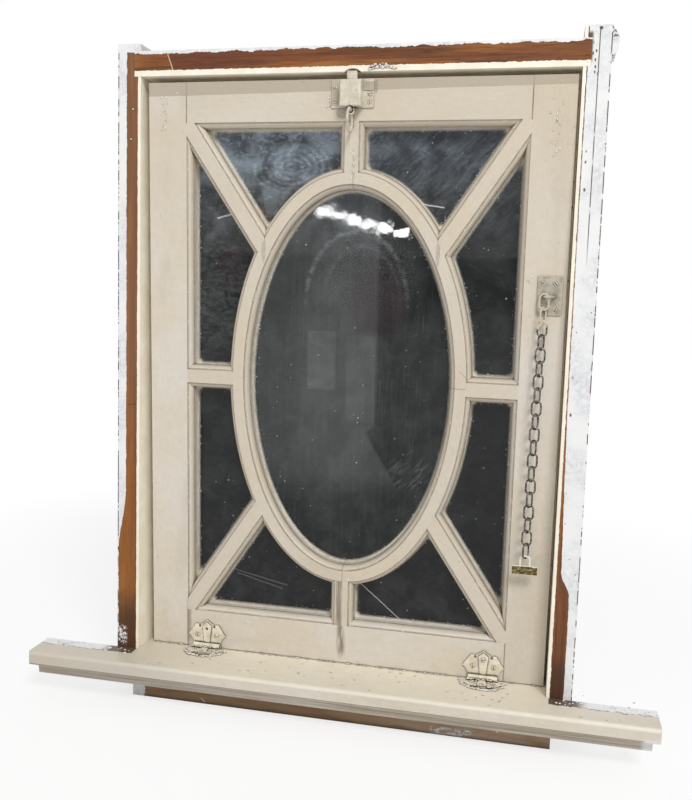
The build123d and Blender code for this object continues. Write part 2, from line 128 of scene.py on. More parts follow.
def smooth(value, start, end):
    """0 where the value is at start, 1 at end, eased between."""
    tree = value.tree
    made = tree.nodes.new("ShaderNodeMapRange")
    made.interpolation_type = "SMOOTHSTEP"
    plain = not isinstance(start, S) and not isinstance(end, S)
    flip = plain and end < start
    put(tree, made.inputs["Value"], value)
    put(tree, made.inputs["From Min"], end if flip else start)
    put(tree, made.inputs["From Max"], start if flip else end)
    made.inputs["To Min"].default_value = 1.0 if flip else 0.0
    made.inputs["To Max"].default_value = 0.0 if flip else 1.0
    return S(tree, made.outputs[0])


def above(value, edge, soft=0.5):
    """1 above the edge, 0 below it, with a soft step."""
    return smooth(value - edge, -soft, soft)


def between(value, start, end, soft=0.5):
    """1 from start to end, with soft steps."""
    return above(value, start, soft) * (1.0 - above(value, end, soft))


def line(value, place, half, soft=0.3):
    """1 within half of the place."""
    return 1.0 - smooth(op("ABSOLUTE", value - place), half - soft, half + soft)


def vector(x, y, z):
    """Three values as one vector."""
    tree = tree_of((x, y, z))
    made = tree.nodes.new("ShaderNodeCombineXYZ")
    for socket, value in zip(made.inputs, (x, y, z)):
        put(tree, socket, value)
    return S(tree, made.outputs[0])


def scaled(spot, x, y, z):
    """Coordinates times three factors, to stretch a pattern."""
    tree = spot.tree
    made = tree.nodes.new("ShaderNodeVectorMath")
    made.operation = "MULTIPLY"
    put(tree, made.inputs[0], spot)
    made.inputs[1].default_value = (x, y, z)
    return S(tree, made.outputs[0])


def shifted(spot, x, y, z):
    """Coordinates moved, so that a pattern doesn't repeat another one."""
    tree = spot.tree
    made = tree.nodes.new("ShaderNodeVectorMath")
    made.operation = "ADD"
    put(tree, made.inputs[0], spot)
    made.inputs[1].default_value = (x, y, z)
    return S(tree, made.outputs[0])


def noise(spot, size, detail=2.0, rough=0.5, warp=0.0, lift=0.0):
    """Noise about 0.5 with features of about this size in millimetres."""
    tree = spot.tree
    made = tree.nodes.new("ShaderNodeTexNoise")
    made.noise_dimensions = "4D" if lift else "3D"
    put(tree, made.inputs["Vector"], spot)
    made.inputs["Scale"].default_value = 1.0 / size
    made.inputs["Detail"].default_value = detail
    made.inputs["Roughness"].default_value = rough
    made.inputs["Distortion"].default_value = warp
    if lift:
        made.inputs["W"].default_value = lift
    return S(tree, made.outputs["Fac"])


def dots(spot, spacing, radius, spare, soft=0.35):
    """Round dots of this radius; spare is the share of cells left without one."""
    tree = spot.tree
    made = tree.nodes.new("ShaderNodeTexVoronoi")
    put(tree, made.inputs["Vector"], spot)
    made.inputs["Scale"].default_value = 1.0 / spacing
    split = tree.nodes.new("ShaderNodeSeparateColor")
    tree.links.new(made.outputs["Color"], split.inputs[0])
    chance, size = S(tree, split.outputs[0]), S(tree, split.outputs[1])
    reach = (0.4 + 0.6 * size) * (radius / spacing)
    near = smooth(S(tree, made.outputs["Distance"]) / reach, 1.0 + soft, 1.0 - soft)
    return near * above(chance, spare, 0.01)


def mix(share, a, b):
    """Colour a, with this share of colour b laid over it."""
    tree = tree_of((share, a, b))
    made = tree.nodes.new("ShaderNodeMix")
    made.data_type = "RGBA"
    put(tree, made.inputs[0], share)
    for socket, value in ((made.inputs[6], a), (made.inputs[7], b)):
        put(tree, socket, value if isinstance(value, S) else (*value, 1.0))
    return S(tree, made.outputs[2])


def tint(colour, amount):
    """Colour times a grey amount."""
    tree = tree_of((colour, amount))
    made = tree.nodes.new("ShaderNodeMix")
    made.data_type = "RGBA"
    made.blend_type = "MULTIPLY"
    made.inputs[0].default_value = 1.0
    put(tree, made.inputs[6], colour if isinstance(colour, S) else (*colour, 1.0))
    put(tree, made.inputs[7], vector(amount, amount, amount))
    return S(tree, made.outputs[2])


def rgb(red, green, blue):
    """Screen colour, 0 to 255, as the linear values that Blender uses."""

    def linear(value):
        value /= 255
        return value / 12.92 if value <= 0.04045 else ((value + 0.055) / 1.055) ** 2.4

    return linear(red), linear(green), linear(blue)


class Surface:
    """A new material with its coordinates in millimetres and its Principled shader."""

    def __init__(self, name, radius=0.8):
        self.material = bpy.data.materials.new(name)
        self.material.use_nodes = True
        self.tree = self.material.node_tree
        self.shader = self.tree.nodes["Principled BSDF"]
        place = self.tree.nodes.new("ShaderNodeTexCoord")
        self.spot = scaled(S(self.tree, place.outputs["Object"]), 1000, 1000, 1000)
        split = self.tree.nodes.new("ShaderNodeSeparateXYZ")
        self.tree.links.new(self.spot.out, split.inputs[0])
        self.x, self.y, self.z = (S(self.tree, out) for out in split.outputs)
        facing = self.tree.nodes.new("ShaderNodeSeparateXYZ")
        self.tree.links.new(place.outputs["Normal"], facing.inputs[0])
        self.nx, self.ny, self.nz = (S(self.tree, out) for out in facing.outputs)
        self.u = self.x - SASH_X
        self.h = (FOOT_Y - self.y) * SIN + (self.z - FOOT_Z) * COS
        self.n = (FOOT_Y - self.y) * COS + (FOOT_Z - self.z) * SIN
        self.heights = []
        self.round = None
        if radius:
            made = self.tree.nodes.new("ShaderNodeBevel")
            made.samples = 4
            made.inputs["Radius"].default_value = radius / 1000
            self.round = S(self.tree, made.outputs[0])

    def creases(self, reach):
        """0 in the open, up to 1 in corners narrower than the reach."""
        made = self.tree.nodes.new("ShaderNodeAmbientOcclusion")
        made.samples = 4
        made.inputs["Distance"].default_value = reach / 1000
        return 1.0 - S(self.tree, made.outputs["AO"])

    def edges(self):
        """1 along sharp edges and corners, as wide as the rounding, and 0 on open faces."""
        face = self.tree.nodes.new("ShaderNodeNewGeometry")
        made = self.tree.nodes.new("ShaderNodeVectorMath")
        made.operation = "DOT_PRODUCT"
        put(self.tree, made.inputs[0], self.round)
        self.tree.links.new(face.outputs["Normal"], made.inputs[1])
        return smooth(S(self.tree, made.outputs["Value"]), 0.99, 0.9)

    def bump(self, height, millimetres):
        """Ask for a relief of this height, laid on in done()."""
        self.heights.append((height, millimetres))

    def done(self, colour, rough, metal=0.0, shine=0.5):
        """Connect the shader and give the material back."""
        if not isinstance(colour, S):
            colour = (*colour, 1.0)
        put(self.tree, self.shader.inputs["Base Color"], colour)
        put(self.tree, self.shader.inputs["Roughness"], rough)
        put(self.tree, self.shader.inputs["Metallic"], metal)
        self.shader.inputs["Specular IOR Level"].default_value = shine
        normal = self.round
        for height, millimetres in self.heights:
            made = self.tree.nodes.new("ShaderNodeBump")
            made.inputs["Strength"].default_value = 1.0
            made.inputs["Distance"].default_value = millimetres / 1000
            put(self.tree, made.inputs["Height"], height)
            if normal:
                put(self.tree, made.inputs["Normal"], normal)
            normal = S(self.tree, made.outputs[0])
        if normal:
            put(self.tree, self.shader.inputs["Normal"], normal)
        return self.material


CREAM = rgb(218, 210, 198)
CREAM_WARM = rgb(215, 204, 186)
CREAM_GREY = rgb(190, 181, 165)
CREAM_LIGHT = rgb(238, 231, 214)
TAN = rgb(200, 185, 160)
DULL = rgb(172, 160, 141)
GRIME_AND_SHADE = rgb(104, 90, 72)
SOOT_AND_SHADE = rgb(58, 50, 42)
WHITE = rgb(238, 238, 237)


def ragged(m, size=7.0, reach=3.0):
    """Noise up to this reach either way, for broken edges."""
    return (noise(m.spot, size, 4.0, 0.65) - 0.5) * (2.0 * reach)


def dash(m, start, end, half=0.6, soft=0.4):
    """1 on a straight mark between two points of the sash."""
    (u0, h0), (u1, h1) = start, end
    length = math.hypot(u1 - u0, h1 - h0)
    cos, sin = (u1 - u0) / length, (h1 - h0) / length
    along = (m.u - u0) * cos + (m.h - h0) * sin
    off = (m.h - h0) * cos - (m.u - u0) * sin + ragged(m, 9.0, 1.2)
    return line(off, 0.0, half, soft) * between(along, 0.0, length, 1.0)


def blot(m, u, h, wide, tall, soft=0.5):
    """1 inside an ellipse on the sash."""
    across, up = (m.u - u) / wide, (m.h - h) / tall
    return smooth(across * across + up * up, 1.0 + soft, 1.0 - soft)


def paint(name, angle=None, marks=None, kind="sash", dull=0.0):
    """Old cream gloss paint brushed along a member, chipped and with a painted highlight on its
    edges, with painted shade and grime in its corners.
    """
    m = Surface(name, 1.0)
    if kind == "ring":
        across = m.u / RING_A
        up = (m.h - OVAL_H) / RING_B
        turn = op("ARCTAN2", up, across)
        reach = op("SQRT", across * across + up * up)
        along, side = turn * 200.0, reach * RING_A
    elif kind == "sash":
        cos, sin = math.cos(math.radians(angle)), math.sin(math.radians(angle))
        along = m.u * cos + m.h * sin
        side = m.h * cos - m.u * sin
    else:
        along, side = m.x, m.y
    lie = vector(along, side, m.n if kind != "stool" else m.z)
    strokes = noise(scaled(lie, 0.035, 1.0, 1.0), 1.2, 4.0, 0.65)
    drift = noise(scaled(lie, 0.2, 1.0, 1.0), 45.0, 4.0, 0.55)
    clouds = noise(lie, 110.0, 3.0)
    mottle = noise(m.spot, 9.0, 4.0, 0.6)
    crease = m.creases(4.0)
    edge = m.edges()
    colour = mix(smooth(clouds, 0.36, 0.66), CREAM, CREAM_WARM)
    colour = mix(smooth(drift, 0.5, 0.85) * 0.7, colour, CREAM_GREY)
    if dull:
        colour = mix(dull, colour, TAN)
    colour = tint(colour, 0.9 + 0.2 * strokes)
    colour = tint(colour, 0.92 + 0.16 * mottle)
    dabs = smooth(noise(scaled(lie, 0.3, 1.0, 1.0), 3.2, 4.0, 0.7), 0.56, 0.72)
    colour = mix(dabs * smooth(clouds, 0.4, 0.6) * 0.5, colour, CREAM_LIGHT)
    # Painted highlight on the open edges, and on the rim of the moulding beside the glass
    light = edge * smooth(crease, 0.3, 0.1)
    if kind != "stool":
        rim = between(m.n, HIGHLIT_RIM[0], HIGHLIT_RIM[1] + ragged(m, 6.0, 3.0), 1.5)
        light = high(light, rim)
        # Painted shade and grime: dark lines in the two inner corners of the moulding round each
        # pane
        cut = high(*(line(m.n, depth, 0.35, 0.3) for depth in CUTS))
        colour = mix(cut * smooth(mottle, 0.3, 0.5) * 0.55, colour, GRIME_AND_SHADE)
    colour = mix(light * smooth(mottle, 0.3, 0.55) * 0.9, colour, rgb(246, 241, 227))
    # Painted shade and grime: darker in the creases, kept off the highlighted rim by the glass
    shade_and_grime = smooth(crease + 0.4 * (noise(m.spot, 5.0, 3.0) - 0.5), 0.2, 0.5)
    if kind != "stool":
        shade_and_grime = shade_and_grime * (1.0 - rim * 0.75)
    colour = mix(shade_and_grime * 0.78, colour, GRIME_AND_SHADE)
    chip = edge * above(noise(m.spot, 4.0, 3.0, 0.6), 0.67, 0.01)
    colour = mix(chip * 0.7, colour, rgb(128, 98, 70))
    specks = dots(m.spot, 9.0, 0.7, 0.93)
    flecks = dots(shifted(m.spot, 37.0, 11.0, 5.0), 13.0, 0.9, 0.93)
    colour = mix(specks * 0.6, colour, GRIME_AND_SHADE)
    colour = mix(flecks * 0.7, colour, CREAM_LIGHT)
    if marks:
        colour = marks(m, colour)
    lumps = dots(scaled(lie, 0.6, 1.0, 1.0), 6.0, 1.3, 0.8) * above(noise(m.spot, 35.0), 0.52, 0.05)
    m.bump(strokes, 0.3)
    m.bump(dabs, 0.2)
    m.bump(noise(lie, 14.0, 3.0), 0.8)
    m.bump(lumps, 0.5)
    m.bump(chip, -0.3)
    return m.done(colour, 0.32 + 0.2 * noise(m.spot, 25.0) + 0.25 * shade_and_grime)


# Camera, light and floor
def look(position, target):
    """The turn that points a lamp at the target."""
    forward = (target - position).normalized()
    return forward.to_track_quat("-Z", "Y").to_matrix().to_4x4()


# The camera of the photograph, from a fit to the sash, the head and the jambs
EYE = Vector((0.2770, -1.3348, 0.6325))
RX, RY, RZ = 0.11441, 0.21191, 0.03063
FOCUS_PX, HEIGHT_PX, SENSOR_MM = 893.88, 800, 36
turn = Matrix.Rotation(RZ, 3, "Z") @ Matrix.Rotation(RX, 3, "X") @ Matrix.Rotation(RY, 3, "Y")
rows = [Vector((r[0], r[2], -r[1])) for r in turn]
camera = bpy.data.objects.new("camera", bpy.data.cameras.new("camera"))
bpy.context.collection.objects.link(camera)
camera.data.lens = FOCUS_PX / HEIGHT_PX * SENSOR_MM
camera.data.sensor_width = SENSOR_MM
camera.data.clip_start = 0.05
place = Matrix((rows[0], -rows[1], -rows[2])).transposed().to_4x4()
place.translation = EYE
camera.matrix_world = place
bpy.context.scene.camera = camera

world = bpy.data.worlds.new("studio")
bpy.context.scene.world = world
world.use_nodes = True
tree = world.node_tree
back = tree.nodes["Background"]
path = tree.nodes.new("ShaderNodeLightPath")
seen = high(
    S(tree, path.outputs["Is Camera Ray"]),
    high(S(tree, path.outputs["Is Glossy Ray"]), S(tree, path.outputs["Is Transmission Ray"])),
)
put(tree, back.inputs["Strength"], 0.5 + 0.5 * seen)
back.inputs["Color"].default_value = (1.0, 1.0, 1.0, 1.0)


def lamp(name, spot, target, size, power):
    """A rectangular lamp of this size in metres and power in watts."""
    data = bpy.data.lights.new(name, "AREA")
    data.shape = "RECTANGLE"
    data.size, data.size_y = size
    data.energy = power
    thing = bpy.data.objects.new(name, data)
    bpy.context.collection.objects.link(thing)
    spot = Vector(spot)
    thing.matrix_world = Matrix.Translation(spot) @ look(spot, Vector(target))


lamp("key", (2.4, -4.6, 5.0), (0.0, 0.0, 0.5), (2.0, 1.4), 250)

# A row of ceiling lights far behind the camera, seen only as a streak in the oval glass:
# the place of each one along the row, its width and its height, in metres
STREAK = (
    (-0.26, 0.08, 0.06),
    (-0.17, 0.08, 0.04),
    (-0.08, 0.08, 0.05),
    (0.01, 0.08, 0.035),
    (0.1, 0.08, 0.05),
    (0.2, 0.1, 0.04),
)
STREAK_POWER = 150  # watts a square metre
for number, (across, wide, tall) in enumerate(STREAK):
    spot = (-0.75 + across, -4.0, 0.79 - across * 0.27)
    target = (spot[0] + 0.8, 0.0, spot[2])
    lamp(f"streak_{number}", spot, target, (wide, tall), wide * tall * STREAK_POWER)

bpy.ops.mesh.primitive_plane_add(size=60, location=(0, 0, -0.0005))
floor = bpy.context.object
floor.name = "floor"
material = bpy.data.materials.new("floor")
material.use_nodes = True
tree = material.node_tree
tree.nodes.clear()
matt = tree.nodes.new("ShaderNodeBsdfDiffuse")
matt.inputs["Color"].default_value = (0.9, 0.9, 0.9, 1)
glow = tree.nodes.new("ShaderNodeEmission")
path = tree.nodes.new("ShaderNodeLightPath")
both = tree.nodes.new("ShaderNodeMixShader")
place = tree.nodes.new("ShaderNodeTexCoord")
apart = tree.nodes.new("ShaderNodeVectorMath")
apart.operation = "LENGTH"
tree.links.new(place.outputs["Object"], apart.inputs[0])
put(tree, both.inputs[0], S(tree, path.outputs["Is Camera Ray"]) * 0.7)
put(tree, glow.inputs["Strength"], 1.06 + 0.2 * smooth(S(tree, apart.outputs["Value"]), 0.6, 2.6))
tree.links.new(matt.outputs[0], both.inputs[1])
tree.links.new(glow.outputs[0], both.inputs[2])
out = tree.nodes.new("ShaderNodeOutputMaterial")
tree.links.new(both.outputs[0], out.inputs[0])
floor.data.materials.append(material)
bpy.context.scene.view_settings.view_transform = "Standard"


# Materials of the CAD nodes
def dress(material, *names):
    """Give the material to these CAD nodes without touching their meshes."""
    for name in names:
        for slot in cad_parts[name].material_slots:
            slot.link = "OBJECT"
            slot.material = material


def rail_marks(m, colour):
    """Hairlines where the rails meet the stiles, the head's painted shadow along the top, a painted
    shadow under the catch, and stains.
    """
    colour = mix(smooth(m.h, 450.0, 850.0) * (0.3 + 0.25 * smooth(m.u, -200.0, 200.0)), colour, TAN)
    at_rail = high(above(m.h, SASH_HIGH - TOP_RAIL - 1), above(-m.h, -BOTTOM_RAIL - 1))
    seam = line(op("ABSOLUTE", m.u), SASH_HALF - STILE, 0.9, 0.5) * at_rail
    colour = mix(seam * (0.35 + 0.6 * noise(m.spot, 18.0)), colour, GRIME_AND_SHADE)
    # Painted shadow of the head: a darker band down the top of the sash, narrower to the right
    head_shadow_edge = SASH_HIGH - 16.5 + m.u * 0.0115 + 1.2 * noise(m.spot, 30.0)
    band = above(m.h, head_shadow_edge, 0.4) * above(m.n, -2.0, 0.5)
    colour = mix(band * 0.75, colour, DULL)
    streak = noise(scaled(m.spot, 1.0, 1.0, 0.06), 2.5, 3.0, 0.6)
    run = line(m.u, 2.0 - m.h * 0.04, 5.5, 3.0)
    run = run * smooth(m.h, 2.0, 24.0) * smooth(m.h, 135.0, 118.0)
    colour = mix(run * smooth(streak, 0.3, 0.62) * 0.9, colour, rgb(130, 117, 100))
    damp = line(m.u, -SASH_HALF + STILE + 2.0, 3.0, 3.0) * between(m.h, 6.0, 78.0, 5.0)
    colour = mix(damp * (0.3 + 0.6 * streak), colour, rgb(128, 112, 94))
    # Painted shadow under the catch's plate, and a dark old paint edge beside the case
    under = high(blot(m, -14.0, 812.0, 9.0, 7.0), blot(m, 33.0, 847.0, 2.6, 9.0, 0.3))
    colour = mix(under * 0.6 * noise(m.spot, 4.0), colour, SOOT_AND_SHADE)
    low_right = smooth(m.u, 180.0, 290.0) * smooth(m.h, 330.0, 120.0)
    return mix(low_right * 0.25, colour, DULL)


def ring_marks(m, colour):
    """Hairlines at the joints of the ring and dark vertical streaks where the corner bars meet it.
    """
    seams = high(
        high(line(m.u, 3.2, 0.5) * above(m.h, 690.0), line(m.h, 430.8, 0.6) * above(m.u, 150.0)),
        high(
            line(m.u, 0.4, 0.6) * above(-m.h, -165.0),
            dash(m, (163.4, 456.8), (176.0, 443.5), 0.4),
        ),
    )
    colour = mix(seams * (0.3 + 0.5 * noise(m.spot, 12.0)), colour, GRIME_AND_SHADE)
    dark_streaks = high(blot(m, -128.0, 622.0, 3.0, 20.0), blot(m, 127.0, 620.0, 3.0, 18.0))
    return mix(dark_streaks * 0.55 * noise(m.spot, 5.0, 3.0), colour, SOOT_AND_SHADE)


def bar_marks(m, colour):
    """A rain-washed streak down the lowest bar, and lumps caught in the top one."""
    streak = noise(scaled(m.spot, 1.0, 1.0, 0.06), 2.5, 3.0, 0.6)
    run = line(m.u, -3.5, 4.5, 2.5) * smooth(m.h, 150.0, 140.0)
    colour = mix(run * smooth(streak, 0.25, 0.6) * 0.9, colour, rgb(130, 117, 100))
    drips = dots(scaled(m.spot, 1.0, 1.0, 0.4), 4.0, 1.0, 0.5)
    drips = drips * line(m.u, 3.5, 4.0, 2.0) * between(m.h, 720.0, 768.0, 3.0)
    m.bump(drips, 0.8)
    return mix(drips * 0.5, colour, CREAM_LIGHT)


def stool_marks(m, colour):
    """A painted highlight along the stool's nose, and the bare footprints of the casings beside the
    jambs.
    """
    # Painted highlight along the rounded top front edge
    nose_highlight = smooth((m.z - STOOL_TOP) - (m.y - STOOL_FRONT), -5.6, -4.2) * above(m.z, 70.0, 1.0)
    colour = mix(nose_highlight * (0.45 + 0.5 * noise(m.spot, 8.0, 3.0)), colour, CREAM_LIGHT)
    top = above(m.z, STOOL_TOP - 0.5, 0.3)
    # The top face paler, most of all towards the right
    paler_top = top * (0.55 + 0.5 * noise(m.spot, 30.0, 3.0)) * smooth(m.x, 470.0, 200.0)
    colour = mix(paler_top, colour, rgb(244, 236, 216))
    colour = mix(smooth(m.x, -120.0, -330.0) * 0.6, colour, CREAM_GREY)
    reeds = noise(scaled(m.spot, 0.012, 1.0, 1.0), 1.7, 2.0)
    under = smooth(m.z, 59.0, 54.0)
    colour = mix(under * (0.2 + 0.9 * smooth(reeds, 0.35, 0.65)) * 0.6, colour, rgb(140, 128, 108))
    colour = mix(line(m.z, 57.2, 0.7) * 0.7, colour, GRIME_AND_SHADE)
    away = op("ABSOLUTE", m.x)
    edge = -105.0 + ragged(m, 22.0, 9.0) + ragged(m, 4.0, 2.0)
    ear = above(away, 315.0, 1.0) * above(m.z, 74.0, 0.5)
    footprint = above(m.y, edge, 0.5) * ear
    near = smooth(away + ragged(m, 8.0, 8.0), 372.0, 350.0)
    bare = mix(noise(m.spot, 5.0, 4.0, 0.7), rgb(64, 48, 38), rgb(118, 98, 80))
    plaster = mix(dots(m.spot, 7.0, 1.2, 0.7), WHITE, rgb(96, 86, 76))
    colour = mix(footprint, colour, mix(near, plaster, bare))
    rim = line(m.y, edge, 0.9, 0.5) * ear
    colour = mix(rim * above(noise(m.spot, 10.0), 0.42, 0.06) * 0.85, colour, SOOT_AND_SHADE)
    ends = above(m.x, 440.0, 4.0) * smooth(m.z, 62.0, 56.0)
    return mix(ends * 0.8, colour, WHITE)


dress(paint("paint_stile_left", 90, rail_marks), "stile_left")
dress(paint("paint_stile_right", 90, rail_marks), "stile_right")
dress(paint("paint_rails", 0, rail_marks), "rail_top", "rail_bottom")
dress(
    paint("paint_ring", marks=ring_marks, kind="ring", dull=0.4),
    "ring_upper_right",
    "ring_upper_left",
    "ring_lower_left",
    "ring_lower_right",
)
dress(paint("paint_bars_level", 0, dull=0.4), "bar_left", "bar_right")
dress(paint("paint_bars_upright", 90, bar_marks, dull=0.4), "bar_top", "bar_bottom")
dress(paint("paint_bars_rising", CORNER, dull=0.4), "bar_upper_right", "bar_lower_left")
dress(paint("paint_bars_falling", -CORNER, dull=0.4), "bar_upper_left", "bar_lower_right")
dress(paint("paint_stool", marks=stool_marks, kind="stool"), "stool")


def wood(name, along, covers, tone):
    """Bare wood under old varnish, its grain along one axis, with paint where covers says."""
    m = Surface(name)
    stretch = [1.0, 1.0, 1.0]
    stretch["xyz".index(along)] = 0.03
    grain = scaled(m.spot, *stretch)
    fine = noise(grain, 1.1, 4.0, 0.65)
    broad = noise(grain, 9.0, 3.0, 0.55, 0.6)
    rings = op("SINE", broad * 60.0) * 0.5 + 0.5
    worn = noise(scaled(grain, 4.0, 4.0, 1.0) if along != "z" else grain, 26.0, 4.0, 0.6)
    colour = mix(smooth(broad, 0.3, 0.7), rgb(96, 54, 28), rgb(158, 98, 50))
    colour = mix(rings * 0.35, colour, rgb(84, 44, 22))
    colour = mix(smooth(worn, 0.52, 0.68) * 0.6, colour, rgb(176, 116, 62))
    colour = mix(smooth(worn, 0.46, 0.34) * 0.6, colour, rgb(62, 32, 20))
    colour = mix(smooth(fine, 0.48, 0.72) * 0.65, colour, rgb(48, 28, 18))
    flecks = smooth(noise(scaled(grain, 6.0, 6.0, 6.0), 3.4, 4.0, 0.7), 0.56, 0.68)
    colour = mix(flecks * 0.5, colour, rgb(44, 28, 20))
    colour = mix(dots(m.spot, 16.0, 1.2, 0.8), colour, rgb(35, 24, 18))
    colour = tone(m, colour)
    colour = mix(flecks * smooth(fine, 0.4, 0.6) * 0.4, colour, rgb(40, 26, 20))
    m.bump(fine, 0.25)
    rough = 0.45 + 0.25 * fine
    cover = None
    for share, shade in covers(m):
        colour = mix(share, colour, shade)
        rough = rough * (1.0 - share) + 0.5 * share
        cover = share if cover is None else high(cover, share)
    if cover is not None:
        m.bump(cover, 0.4)
    m.bump(noise(m.spot, 6.0, 3.0, 0.6), 0.25)
    return m.done(colour, rough, shine=0.3)


def old_white(m):
    """Flaking white wall paint with dark pits."""
    worn = smooth(noise(m.spot, 7.0, 4.0, 0.7), 0.7, 0.35)
    worn = worn * smooth(noise(m.spot, 70.0, 3.0), 0.4, 0.62)
    shade = mix(worn, WHITE, rgb(214, 216, 220))
    return mix(dots(m.spot, 9.0, 1.1, 0.84), shade, rgb(70, 62, 56))


def cream(m):
    """The cream paint carried over from the sash onto the frame, with painted shade in its creases.
    """
    shade = mix(smooth(noise(m.spot, 25.0, 3.0), 0.35, 0.7), rgb(244, 235, 215), rgb(252, 246, 229))
    # Painted shade in the creases
    return mix(m.creases(6.0) * 0.25, shade, GRIME_AND_SHADE)


def room_face(m):
    """1 on the front of the frame, towards the room."""
    return above(-m.y, -ROOM_Y - 0.4, 0.05)


def outline(m, x):
    """A broken dark line along the outer arris of a jamb."""
    return line(m.x, x, 0.9, 0.5) * above(noise(m.spot, 16.0, 4.0, 0.7), 0.5, 0.02)


def dots_at(m, spot, radius):
    """A round mark on the room face of the frame, at (x, z)."""
    across, up = m.x - spot[0], m.z - spot[1]
    return smooth(op("SQRT", across * across + up * up), radius + 0.6, radius - 0.6)


def head_covers(m):
    """A cream band along the head's lower edge, and wall paint along its crest."""
    front = room_face(m)
    band = 1.0 - above(m.z, HEAD_Z + 8.0 + ragged(m, 6.0, 2.0), 0.3)
    under = above(-m.nz, 0.5, 0.1)
    crest = above(m.z, HEAD_TOP - 3.5 + ragged(m, 30.0, 6.0) + ragged(m, 5.0, 1.6), 0.3)
    yield high(band * front, under), cream(m)
    yield crest * front, old_white(m)


def head_tone(m, colour):
    """Red varnish right of the scarf joint, worn to orange further on."""
    cut = -266.0 - (m.z - 961.0) * 0.37
    dark = above(m.x, cut, 0.8) * (1.0 - smooth(m.x, -190.0, -60.0) * 0.85)
    colour = mix(dark * 0.6, colour, rgb(92, 48, 34))
    fall = dots(scaled(m.spot, 0.25, 1.0, 1.0), 9.0, 1.0, 0.75)
    colour = mix(fall * 0.7, colour, rgb(52, 32, 24))
    return mix(line(m.x, cut, 0.8, 0.4), colour, rgb(206, 176, 140))


def jamb_left_covers(m):
    """Cream on the reveal, wall paint on the outer side, flakes at the foot."""
    front = room_face(m)
    edge = -334.0 + ragged(m, 10.0, 2.2) - smooth(m.z, 330.0, 230.0) * 12.0
    outer = 1.0 - above(m.x, edge, 0.3)
    inner = above(m.x, -316.5 + ragged(m, 9.0, 1.2), 0.3)
    reveal = above(m.nx, 0.5, 0.1)
    horn = above(m.z, HEAD_TOP - 2.0 + ragged(m, 6.0, 2.0), 0.4)
    flakes = line(m.x, -339.0, 7.0, 2.0) * between(m.z, 82.0, 110.0, 4.0)
    flakes = flakes * above(noise(m.spot, 5.0, 4.0, 0.7), 0.52, 0.02)
    yield high(inner * front, reveal), cream(m)
    outer = outer * front * (1.0 - outline(m, JAMB_LEFT))
    yield high(high(outer, above(-m.nx, 0.5, 0.1)), horn), old_white(m)
    yield flakes * front, WHITE


def jamb_left_tone(m, colour):
    """Orange varnish low down, browner above, black with damp at the foot, two nail holes."""
    wet = smooth(m.z + ragged(m, 20.0, 20.0), 190.0, 120.0)
    warm = smooth(m.z, 560.0, 300.0)
    colour = mix((1.0 - warm) * 0.4, colour, rgb(160, 116, 82))
    colour = mix(warm * 0.45, colour, rgb(158, 98, 42))
    holes = high(*(dots_at(m, spot, 2.4) for spot in NAILS))
    colour = mix(holes, colour, SOOT_AND_SHADE)
    crack = line(m.z, 460.0 + (m.x + 331.0) * 0.15, 0.5) * between(m.x, -331.0, -317.0)
    colour = mix(crack, colour, SOOT_AND_SHADE)
    colour = mix(wet * 0.8, colour, rgb(58, 38, 27))
    return mix(outline(m, JAMB_LEFT), colour, SOOT_AND_SHADE)


def jamb_right_covers(m):
    """Wall paint over most of the face, flaked off beside the cream strip and at the head."""
    front = room_face(m)
    fall = smooth(m.z, 560.0, 150.0)
    strip = 1.0 - above(m.x, 316.5 + ragged(m, 8.0, 1.4), 0.3)
    edge = 317.6 + ragged(m, 12.0, 1.5) + 6.0 * fall + 12.0 * smooth(m.z, 260.0, 225.0)
    white = above(m.x, edge, 0.4)
    patch = line(m.x, 317.0, 6.0, 2.0) * between(m.z, 948.0, 986.0, 3.0)
    patch = patch * above(noise(m.spot, 9.0, 4.0, 0.7), 0.4, 0.03)
    flaked = dots(scaled(m.spot, 1.0, 1.0, 0.6), 6.0, 1.6, 0.72) * line(m.x, 321.0, 5.0, 4.0)
    pitted = dots(scaled(m.spot, 1.0, 1.0, 0.5), 4.0, 1.2, 0.5)
    pitted = pitted * line(m.x, 328.0, 5.0, 3.0) * smooth(m.z, 900.0, 940.0)
    flaked = high(flaked, pitted)
    seam = line(m.x, 331.5, 0.6, 0.4) * above(noise(m.spot, 26.0), 0.42, 0.04)
    seam = seam * above(m.z, 700.0, 40.0)
    knot = dots_at(m, (332.4, 990.5), 2.4)
    reveal = above(-m.nx, 0.5, 0.1)
    bare = (1.0 - patch) * (1.0 - flaked) * (1.0 - seam) * (1.0 - knot)
    bare = bare * (1.0 - outline(m, JAMB_RIGHT))
    yield white * front * bare, old_white(m)
    yield high(above(m.nx, 0.5, 0.1), above(m.z, HEAD_TOP + 14.0, 0.5)), old_white(m)
    yield high(strip * front, reveal), cream(m)


def jamb_right_tone(m, colour):
    """Grey and dry above, brown below, black with damp at the foot."""
    colour = mix(above(m.z, 700.0, 60.0) * 0.8, colour, rgb(92, 82, 74))
    colour = mix(smooth(m.z, 330.0, 250.0) * 0.5, colour, rgb(98, 62, 38))
    return mix(smooth(m.z, 150.0, 110.0) * 0.7, colour, rgb(58, 40, 30))


def slant(m, x, z, long):
    """A scratch that falls to the right over the sill's face."""
    along = (m.x - x) * 0.75 - (m.z - z) * 0.66
    off = (m.x - x) * 0.66 + (m.z - z) * 0.75
    return line(off, 0.0, 0.6, 0.3) * line(along, 0.0, long / 2, 0.5)


